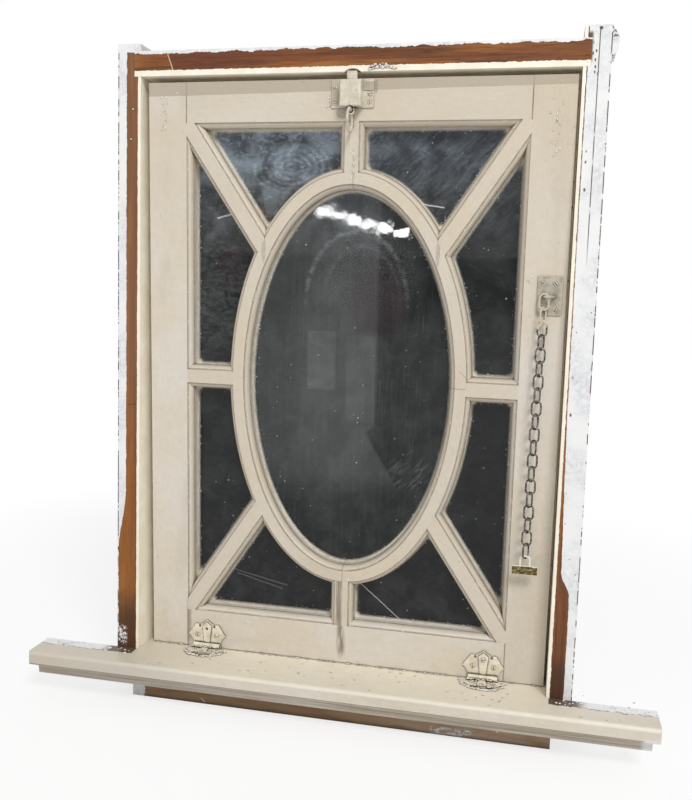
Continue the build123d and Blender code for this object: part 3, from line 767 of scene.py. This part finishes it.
def sill_covers(m):
    """Wall paint on the left end, a worn patch, and three scratches."""
    front = room_face(m)
    end = 1.0 - above(m.x, -301.0 + ragged(m, 9.0, 5.0), 0.5)
    patch = between(m.x, 150.0, 208.0, 4.0) * between(m.z, 2.0, 12.0, 2.0)
    patch = patch * above(noise(scaled(m.spot, 0.4, 1.0, 1.0), 5.0, 4.0, 0.7), 0.5, 0.03)
    cuts = high(slant(m, -204.0, 5.7, 8.0), slant(m, 241.5, 19.7, 16.0))
    worn = high(end, patch)
    cuts = high(cuts, slant(m, -20.0, 20.0, 10.0))
    yield high(worn, cuts) * front * 0.9, old_white(m)


def sill_tone(m, colour):
    """Weathered to grey, lighter to the right, dark along the foot."""
    grey = smooth(noise(scaled(m.spot, 0.2, 1.0, 1.0), 14.0, 3.0), 0.3, 0.65)
    colour = mix(0.45 + grey * 0.45, colour, rgb(150, 126, 98))
    colour = mix(smooth(m.x, -60.0, 180.0) * (0.25 + 0.5 * grey), colour, rgb(188, 166, 142))
    return mix(smooth(m.z, 6.0, 1.0) * 0.5, colour, rgb(60, 44, 34))


def plain_tone(m, colour):
    """The bare wood as it is."""
    return colour


def stop_covers(m):
    """Cream paint that has flaked off in places."""
    yield above(noise(m.spot, 14.0, 4.0, 0.65), 0.36, 0.03), cream(m)


def wedge_covers(m):
    """Wall paint that has flaked off in places."""
    yield above(noise(m.spot, 9.0, 4.0, 0.65), 0.4, 0.03), old_white(m)


dress(wood("wood_head", "x", head_covers, head_tone), "head")
dress(wood("wood_jamb_left", "z", jamb_left_covers, jamb_left_tone), "jamb_left")
dress(wood("wood_jamb_right", "z", jamb_right_covers, jamb_right_tone), "jamb_right")
dress(wood("wood_sill", "x", sill_covers, sill_tone), "sill")
dress(wood("wood_stops", "z", stop_covers, plain_tone), "stop_left", "stop_right")
dress(wood("wood_stop_top", "x", stop_covers, plain_tone), "stop_top")


def distance(m, u, h, squeeze):
    """Distance from a point of the sash, with the height squeezed."""
    across, up = m.u - u, (m.h - h) * squeeze
    return op("SQRT", across * across + up * up)


def oval_reach(m):
    """1 on the edge of the oval light."""
    return distance(m, 0.0, OVAL_H, RING_A / RING_B) / RING_A


def glass(name):
    """Old window glass over the dark: dust, smears, drips, and paint left round its edge."""
    m = Surface(name, radius=0.0)
    flat = vector(m.u, m.h, 0.0)
    top = smooth(m.h, 600.0, 770.0)
    left = smooth(m.u, 90.0, -60.0)
    oval = smooth(oval_reach(m), 1.04, 0.98)
    cloud = noise(flat, 42.0, 4.0, 0.55, 0.5)
    wisps = noise(scaled(flat, 1.0, 1.7, 1.0), 13.0, 5.0, 0.68, 0.8)
    diagonal = vector(m.u + m.h, m.h - m.u, 0.0)
    slanting = noise(scaled(diagonal, 0.16, 1.0, 1.0), 7.0, 4.0, 0.65, 0.3)
    grit = noise(flat, 1.5, 2.0, 0.7)
    film = 0.05 + top * (0.17 + 0.44 * left) * (1.0 - oval * 0.55)
    haze = 0.25 + 0.9 * smooth(cloud, 0.36, 0.66) + 0.7 * smooth(wisps, 0.5, 0.72)
    haze = film * haze
    haze = haze + top * (1.0 - left) * (1.0 - oval) * smooth(slanting, 0.45, 0.7) * 0.16
    streaked = smooth(m.h, 765.0, 790.0) * left * smooth(wisps, 0.44, 0.6)
    haze = haze + streaked * (1.0 - oval) * 0.5
    whorl = op("SINE", distance(m, -95.0, 742.0, 1.5) * 0.6 + cloud * 9.0) * 0.5 + 0.5
    whorl = whorl * blot(m, -92.0, 738.0, 62.0, 34.0, 0.7) * smooth(wisps, 0.35, 0.6)
    haze = haze + whorl * 0.3
    # Reflections of the room: two arches, rain marks, pale boxes and the edge of a wiped patch
    arch = line(distance(m, 6.0, 545.0, 0.72), 76.0, 2.5, 3.0) * smooth(m.h, 520.0, 590.0)
    second = line(distance(m, 14.0, 530.0, 0.6), 60.0, 1.5, 3.0) * smooth(m.h, 540.0, 600.0)
    brushed = noise(scaled(flat, 1.0, 0.07, 1.0), 6.0, 3.0, 0.6)
    haze = haze + oval * smooth(brushed, 0.45, 0.7) * 0.025
    haze = haze + (arch * 0.26 + second * 0.12) * smooth(wisps, 0.36, 0.6)
    haze = haze + blot(m, 20.0, 590.0, 70.0, 60.0, 0.9) * above(grit, 0.56, 0.04) * 0.22
    bend = (m.h - 330.0) * 0.62 * smooth(m.h, 368.0, 350.0)
    wiped = smooth(m.u + bend, 43.0, 36.0) * smooth(m.h, 250.0, 300.0)
    pale = blot(m, -22.0, 420.0, 62.0, 190.0, 0.8) * (0.6 + 0.8 * cloud)
    box = between(m.u, -66.0, -23.0, 1.5) * between(m.h, 417.0, 504.0, 2.0)
    other = between(m.u, -6.0, 37.0, 1.5) * between(m.h, 370.0, 498.0, 2.0)
    boxes = (box * 0.09 + other * 0.05) * (0.4 + 1.2 * cloud)
    haze = haze + oval * (pale * 0.06 + boxes)
    scuff = blot(m, 92.0, 300.0, 30.0, 30.0) * smooth(slanting, 0.45, 0.7)
    haze = haze + oval * (wiped * 0.1 + scuff * 0.2)
    drips = smooth(noise(scaled(flat, 1.0, 0.035, 1.0), 3.2, 2.0), 0.6, 0.78)
    drips = drips * oval * between(m.u, 10.0, 118.0, 12.0) * between(m.h, 330.0, 560.0, 40.0)
    haze = haze + drips * 0.1
    dusty = smooth(m.u, -130.0, -180.0) * between(m.h, 470.0, 640.0, 60.0)
    haze = haze + dusty * smooth(wisps, 0.3, 0.7) * 0.14
    cleaner = smooth(m.u, 150.0, 210.0) * between(m.h, 150.0, 420.0, 20.0)
    haze = haze * (1.0 - cleaner * 0.6)
    haze = haze * (0.7 + 0.6 * grit)
    colour = mix(haze, rgb(17, 18, 19), mix(top, rgb(150, 154, 154), rgb(136, 148, 160)))
    warm = blot(m, 36.0, 552.0, 42.0, 50.0, 0.9) * 0.5
    warm = warm + blot(m, -186.0, 598.0, 22.0, 32.0, 0.9) * 0.5
    colour = mix(warm * cloud, colour, rgb(62, 34, 42))
    rust = blot(m, -142.0, 668.0, 15.0, 13.0, 0.7)
    rust = rust * above(noise(flat, 6.0, 4.0, 0.7), 0.5, 0.05)
    colour = mix(rust * 0.6, colour, rgb(150, 112, 76))
    scratch = high(
        dash(m, (22.0, 121.0), (89.0, 66.0), 0.5),
        high(
            dash(m, (-209.0, 667.0), (-185.0, 673.0), 1.3),
            dash(m, (98.0, 690.0), (131.0, 685.0), 0.9),
        ),
    )
    faint = high(
        dash(m, (-187.0, 124.0), (-92.0, 104.0), 0.6, 1.0),
        dash(m, (-175.0, 117.0), (-100.0, 98.0), 0.6, 1.0),
    )
    scratch = scratch * (0.4 + 0.6 * grit) + faint * 0.16
    colour = mix(scratch, colour, rgb(214, 218, 218))
    specks = dots(flat, 7.0, 1.0, 0.8) * smooth(noise(flat, 40.0, 3.0), 0.42, 0.6)
    colour = mix(specks * 0.75, colour, rgb(214, 216, 214))
    crease = m.creases(8.0)
    coat = smooth(crease + 0.7 * (noise(flat, 5.0, 4.0, 0.7) - 0.5), 0.36, 0.42)
    splash = dots(flat, 3.5, 0.9, 0.5) * smooth(crease, 0.02, 0.16)
    coat = high(coat, splash)
    colour = mix(coat * 0.9, colour, rgb(232, 227, 214))
    m.bump(noise(flat, 60.0, 3.0), 0.12)
    m.bump(noise(flat, 7.0, 3.0, 0.6), 0.012)
    m.bump(coat, 0.3)
    return m.done(colour, 0.012 + 0.08 * haze + 0.35 * coat, shine=0.34)


panes = [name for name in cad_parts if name.startswith("pane")]
dress(glass("glass"), *panes)


IRON_DARK, IRON_LIGHT = rgb(218, 207, 184), rgb(240, 230, 208)


def iron(name, dark=IRON_DARK, light=IRON_LIGHT, marks=None, waves=1.4):
    """Castings under many coats of cream paint, with a painted highlight on their edges and painted
    shade in their gaps.
    """
    m = Surface(name, 0.9)
    grit = noise(m.spot, 2.2, 4.0, 0.65)
    chip = dots(m.spot, 6.0, 0.9, 0.86)
    crease = m.creases(3.0)
    colour = mix(smooth(noise(m.spot, 12.0, 2.0), 0.35, 0.7), dark, light)
    # Painted highlight along the open edges, then painted shade in the creases
    colour = mix(m.edges() * smooth(crease, 0.4, 0.15), colour, rgb(250, 246, 236))
    colour = mix(smooth(crease + 0.35 * (grit - 0.5), 0.13, 0.33), colour, SOOT_AND_SHADE)
    colour = mix(chip * 0.6, colour, rgb(74, 62, 50))
    if marks:
        colour = marks(m, colour)
    m.bump(grit, 0.5)
    m.bump(noise(m.spot, 5.0, 3.0), waves)
    m.bump(chip, -0.25)
    return m.done(colour, 0.3 + 0.2 * grit)


def catch_marks(m, colour):
    """Bare iron where the paint came off beside the case."""
    bare = between(m.u, 15.2, 31.5, 0.5) * between(m.h, 841.5, 853.5, 0.8)
    colour = mix(bare * 0.6, colour, rgb(150, 134, 116))
    rim = high(line(m.h, 841.3, 0.5), line(m.u, 31.0, 0.5)) * above(m.u, 15.2) * above(m.h, 840.5)
    colour = mix(rim * 0.8, colour, SOOT_AND_SHADE)
    strip = above(-m.u, 15.6, 0.4) * above(m.h, 822.0, 0.5)
    return mix(strip * 0.45, colour, rgb(150, 136, 118))


dress(iron("painted_hinges"), *[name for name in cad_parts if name.startswith("hinge")])
SHADED = rgb(200, 190, 171)
dress(
    iron("painted_catch", SHADED, rgb(220, 211, 192), catch_marks),
    "catch_case",
)
dress(
    iron("painted_bolt", SHADED, rgb(226, 217, 198), waves=3.0),
    "catch_bolt",
    "catch_ring",
)
dress(iron("painted_plate", rgb(160, 151, 135), rgb(194, 186, 169)), "chain_plate", "chain_staple")


def steel(name):
    """Tarnished steel wire, the links next to the plate caught by the paint brush."""
    m = Surface(name, 0.0)
    grime = noise(m.spot, 3.0, 4.0, 0.7)
    painted = above(m.z, 600.0 + ragged(m, 9.0, 14.0), 2.0)
    colour = mix(smooth(grime, 0.35, 0.65), rgb(150, 146, 140), rgb(44, 39, 35))
    colour = mix(painted, colour, rgb(206, 195, 172))
    m.bump(grime, 0.15)
    return m.done(colour, 0.26 + 0.3 * grime, metal=1.0 - painted)


dress(steel("tarnished_steel"), "chain")


PLATE_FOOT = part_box("chain_end_plate")[0].z * 1000


def brass(name):
    """Dull brass, the loop and the upper edge under cream paint."""
    m = Surface(name, 0.3)
    grime = noise(m.spot, 4.0, 4.0, 0.65)
    edge = PLATE_FOOT + 11.2 + ragged(m, 4.0, 1.2)
    painted = high(above(m.nz, 0.4, 0.1), above(m.z, edge, 0.3))
    colour = mix(smooth(grime, 0.3, 0.62), rgb(166, 148, 98), rgb(70, 58, 34))
    colour = mix(painted, colour, rgb(236, 230, 214))
    m.bump(grime, 0.2)
    return m.done(colour, 0.34 + 0.3 * grime, metal=(1.0 - painted) * 0.9)


dress(brass("dull_brass"), "chain_end_plate")


# Pieces too small for the CAD
RIGHT = Vector((1, 0, 0))
FACE = (RIGHT, Vector((0, -SIN, COS)), Vector((0, -COS, -SIN)))
FLAT = (RIGHT, Vector((0, 1, 0)), Vector((0, 0, 1)))
FRONT = (RIGHT, Vector((0, 0, 1)), Vector((0, -1, 0)))
rng = random.Random(11)


def piece(name, made, material):
    """The finished bmesh as an object that rides with the window."""
    bmesh.ops.dissolve_degenerate(made, dist=1e-6, edges=made.edges)
    bmesh.ops.recalc_face_normals(made, faces=made.faces)
    mesh = bpy.data.meshes.new(name)
    made.to_mesh(mesh)
    made.free()
    mesh.materials.append(material)
    mesh.polygons.foreach_set("use_smooth", [True] * len(mesh.polygons))
    thing = bpy.data.objects.new(name, mesh)
    bpy.context.collection.objects.link(thing)
    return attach(thing, "window")


def lump(made, centre, axes, wide, tall, thick):
    """A rough pebble, half of it above the surface that it sits on; sizes in millimetres."""
    seed = Vector((rng.uniform(0, 90), rng.uniform(0, 90), 0))
    right, up, out = axes
    for vert in bmesh.ops.create_icosphere(made, subdivisions=2, radius=1.0)["verts"]:
        way = vert.co * (1.0 + 0.4 * rough_noise.noise(vert.co * 1.4 + seed))
        # the ball has a radius of 1, so each size is halved on its way to metres
        vert.co = centre + (right * way.x * wide + up * way.y * tall + out * way.z * thick) / 2000


def screw(made, centre, axes, radius, height, slot, degrees):
    """A slotted round head: two domed halves with the slot's floor between them."""
    right, up, out = axes
    cos, sin = math.cos(math.radians(degrees)), math.sin(math.radians(degrees))

    def vert(x, y, rise):
        spot = right * (x * cos - y * sin) + up * (x * sin + y * cos) + out * rise
        return made.verts.new(centre + spot / 1000)

    floors = []
    for side in (1, -1):
        rows = [[] for _ in range(5)]
        for step in range(11):
            angle = math.pi * step / 10
            x, rim = radius * math.cos(angle), max(radius * math.sin(angle), slot / 2)
            rows[0].append(vert(x, side * slot / 2, height * 0.2))
            for row, share in enumerate((0.0, 0.5, 0.85, 1.0), 1):
                y = slot / 2 + (rim - slot / 2) * share
                dome = math.sqrt(max(0.0, 1.0 - (x * x + y * y) / radius**2 * 0.98))
                rows[row].append(vert(x, side * y, height * dome - (0.4 if share == 1.0 else 0.0)))
        for inner, outer in zip(rows, rows[1:]):
            for a, b, c, d in zip(inner, inner[1:], outer[1:], outer):
                made.faces.new((a, b, c, d))
        floors.append(rows[0])
    for a, b, c, d in zip(floors[0], floors[0][1:], floors[1][1:], floors[1]):
        made.faces.new((a, b, c, d))


# Screws of the hinges, under paint
made = bmesh.new()
for hinge_u in HINGES:
    for across in (-15.5, 15.5):
        screw(made, sash(hinge_u + across, 20.3, 2.4), FACE, 3.5, 1.7, 0.7, rng.uniform(0, 180))
        spot = Vector((SASH_X + hinge_u + across, -65.6, 78.4)) / 1000
        screw(made, spot, FLAT, 3.5, 1.6, 0.7, rng.uniform(0, 180))
    spot = Vector((SASH_X + hinge_u, -73.7, 79.8)) / 1000
    screw(made, spot, FLAT, 3.3, 1.5, 0.7, rng.uniform(0, 180))
screw(made, sash(HINGES[1], 31.5, 3.8), FACE, 3.5, 1.7, 0.7, 20)
screw(made, sash(HINGES[0], 31.5, 2.2), FACE, 2.1, 0.8, 0.6, 70)
piece("hinge_screws", made, iron("painted_screws"))

# Screws of the catch, of the chain's plate and of the plate on its end
CATCH_SCREWS = ((24.8, 837.0, 30), (24.2, 826.0, 110), (-24.5, 847.0, 60), (-24.5, 828.0, 150))
PLATE_SCREWS = ((273.6, 583.5, 40), (290.6, 582.0, 130), (291.3, 548.0, 60), (274.6, 547.0, 115))
made = bmesh.new()
for u, h, degrees in CATCH_SCREWS:
    screw(made, sash(u, h, 1.9), FACE, 3.0, 1.4, 0.7, degrees)
piece("catch_screws", made, iron("painted_catch_screws"))
made = bmesh.new()
for u, h, degrees in PLATE_SCREWS:
    screw(made, sash(u, h, 1.9), FACE, 3.2, 1.2, 0.9, degrees)
coated = iron("painted_plate_screws", rgb(186, 177, 160), rgb(222, 214, 196))
piece("plate_screws", made, coated)
low_end, high_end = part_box("chain_end_plate")
made = bmesh.new()
for share in (0.25, 0.72):
    x = low_end.x + (high_end.x - low_end.x) * share
    spot = Vector((x, low_end.y + 0.0001, low_end.z + 0.0055))
    screw(made, spot, FRONT, 2.0, 0.7, 0.7, 30 + 100 * share)
piece("end_plate_screws", made, brass("dull_brass_screws"))

# Nails in the left jamb, driven a little under the varnish
made = bmesh.new()
for x, z in NAILS:
    screw(made, Vector((x, ROOM_Y, z)) / 1000, FRONT, 1.6, 0.6, 0.3, 45)
piece("jamb_nails", made, steel("nail_steel"))


def plaster(name):
    """Crumbling plaster."""
    m = Surface(name, 0.0)
    grain = noise(m.spot, 1.5, 4.0, 0.7)
    m.bump(grain, 0.4)
    return m.done(mix(smooth(grain, 0.3, 0.7), rgb(206, 202, 194), WHITE), 0.85)


# Plaster left by the casings on the stool's ears and at the feet of the jambs
made = bmesh.new()
for count, (x0, x1), (y0, y1), most in (
    (26, (-452.0, -352.0), (-108.0, -88.0), 5.0),
    (16, (-442.0, -414.0), (-110.0, -92.0), 7.0),
    (30, (352.0, 455.0), (-106.0, -88.0), 4.0),
    (14, (-352.0, -318.0), (-112.0, -88.0), 3.0),
    (14, (318.0, 350.0), (-108.0, -88.0), 3.0),
):
    for _ in range(count):
        size = rng.uniform(0.35, 1.0) ** 2 * most
        spot = Vector((rng.uniform(x0, x1), rng.uniform(y0, y1), STOOL_TOP)) / 1000
        lump(made, spot, FLAT, size * rng.uniform(0.7, 1.5), size, size * 0.8)
for _ in range(26):
    spot = Vector((rng.uniform(-344.0, -334.0), ROOM_Y, rng.uniform(80.0, 110.0))) / 1000
    lump(made, spot, FRONT, rng.uniform(1.0, 3.4), rng.uniform(1.0, 3.0), 1.0)
piece("plaster_crumbs", made, plaster("plaster"))

# Lumps and runs in the paint
made = bmesh.new()
for u, h, count, wide, tall in (
    (3.0, 745.0, 20, 3.5, 21.0),
    (-282.0, 812.0, 20, 6.0, 26.0),
    (279.0, 800.0, 22, 9.0, 50.0),
    (-34.0, 824.0, 9, 3.0, 9.0),
    (255.0, 560.0, 6, 4.0, 60.0),
):
    for _ in range(count):
        spot = sash(u + rng.gauss(0, 0.5) * wide, h + rng.uniform(-1, 1) * tall)
        lump(made, spot, FACE, rng.uniform(1.2, 3.0), rng.uniform(2.0, 6.0), rng.uniform(0.8, 1.8))
for u, h, most in ((-193.9, 850.5, 3.0), (-261.4, 843.3, 3.4), (-60.0, 20.0, 2.5)):
    lump(made, sash(u, h), FACE, most, most, 0.9)
# The coats that ran together round and over the lower leaves of the hinges
for hinge_u in HINGES:
    middle = SASH_X + hinge_u
    for step in range(34):
        angle = math.pi * step / 33
        x = middle + 31.0 * math.cos(angle) + rng.uniform(-2, 2)
        y = -58.0 - 27.0 * math.sin(angle) + rng.uniform(-1.5, 1.5)
        spot = Vector((x, y, STOOL_TOP + 0.4)) / 1000
        lump(made, spot, FLAT, rng.uniform(4, 11), rng.uniform(4, 8), rng.uniform(1.6, 5.0))
    for _ in range(22):
        x, y = middle + rng.uniform(-22, 22), rng.uniform(-60.0, -57.0)
        spot = Vector((x, y, STOOL_TOP + 4.0)) / 1000
        lump(made, spot, FLAT, rng.uniform(3, 7), rng.uniform(2, 4), rng.uniform(1.6, 3.6))
    for _ in range(26):
        x, y = middle + rng.uniform(-24, 24), rng.uniform(-80.0, -60.0)
        spot = Vector((x, y, STOOL_TOP + 2.6)) / 1000
        lump(made, spot, FLAT, rng.uniform(2, 8), rng.uniform(2, 5), rng.uniform(1.0, 2.6))
# Specks on the stool
for _ in range(90):
    size = rng.uniform(1.1, 2.1) ** 2
    spot = Vector((rng.uniform(-300, 440), rng.uniform(-136, -60), STOOL_TOP)) / 1000
    lump(made, spot, FLAT, size, size, size * 0.6)
# Beads along the joint between the sash and the stool
for _ in range(110):
    x = rng.uniform(-300, 300)
    spot = Vector((x, -50.6, STOOL_TOP + 0.4)) / 1000
    lump(made, spot, FLAT, rng.uniform(2, 7), 2.6, rng.uniform(1.4, 3.0))
piece("paint_lumps", made, iron("paint_lumps", rgb(222, 214, 198), rgb(246, 240, 228)))

# Crumbs of putty in the foot of the oval light
made = bmesh.new()
for _ in range(80):
    angle = math.radians(rng.gauss(-112, 18))
    reach = rng.uniform(0.955, 0.99)
    u, h = RING_A * reach * math.cos(angle), OVAL_H + RING_B * reach * math.sin(angle)
    size = rng.uniform(0.6, 2.4)
    lump(made, sash(u, h, -26.8), FACE, size * 1.6, size, size * 0.7)
piece("putty_crumbs", made, iron("putty"))

# The clot of paint on the head's lower band
made = bmesh.new()
for _ in range(46):
    across = rng.uniform(-1, 1)
    rise = rng.uniform(0, 7.5) * (1 - across * across) + 0.15 * across
    spot = Vector((43.0 + 19.0 * across, ROOM_Y, HEAD_Z + 3.0 + rise)) / 1000
    lump(made, spot, FRONT, rng.uniform(3, 8), rng.uniform(1.5, 4), rng.uniform(1.5, 4.5))
piece("head_clot", made, iron("clot", rgb(224, 218, 204), rgb(244, 240, 230)))

# Packing wedge left on the outer side of the right jamb
made = bmesh.new()
profile = (
    (347.5, 991.5),
    (351.0, 988.0),
    (356.2, 978.5),
    (355.4, 970.0),
    (352.4, 957.5),
    (347.5, 957.5),
)
rings = []
for step in range(9):
    y = -84.8 + 40.0 * step / 8
    ring = []
    for x, z in profile:
        push = 1.1 * rough_noise.noise(Vector((x, y, z)) * 0.13)
        out = push if x > 348 else 0.0
        ring.append(made.verts.new(Vector((x + out, y, z + push * 0.8)) / 1000))
    rings.append(ring)
for a, b in zip(rings, rings[1:]):
    for i in range(len(profile)):
        j = (i + 1) % len(profile)
        made.faces.new((a[i], a[j], b[j], b[i]))
made.faces.new(rings[0])
made.faces.new(rings[-1])
wedge = piece("packing_wedge", made, wood("wood_wedge", "y", wedge_covers, plain_tone))
wedge.data.polygons.foreach_set("use_smooth", [False] * len(wedge.data.polygons))
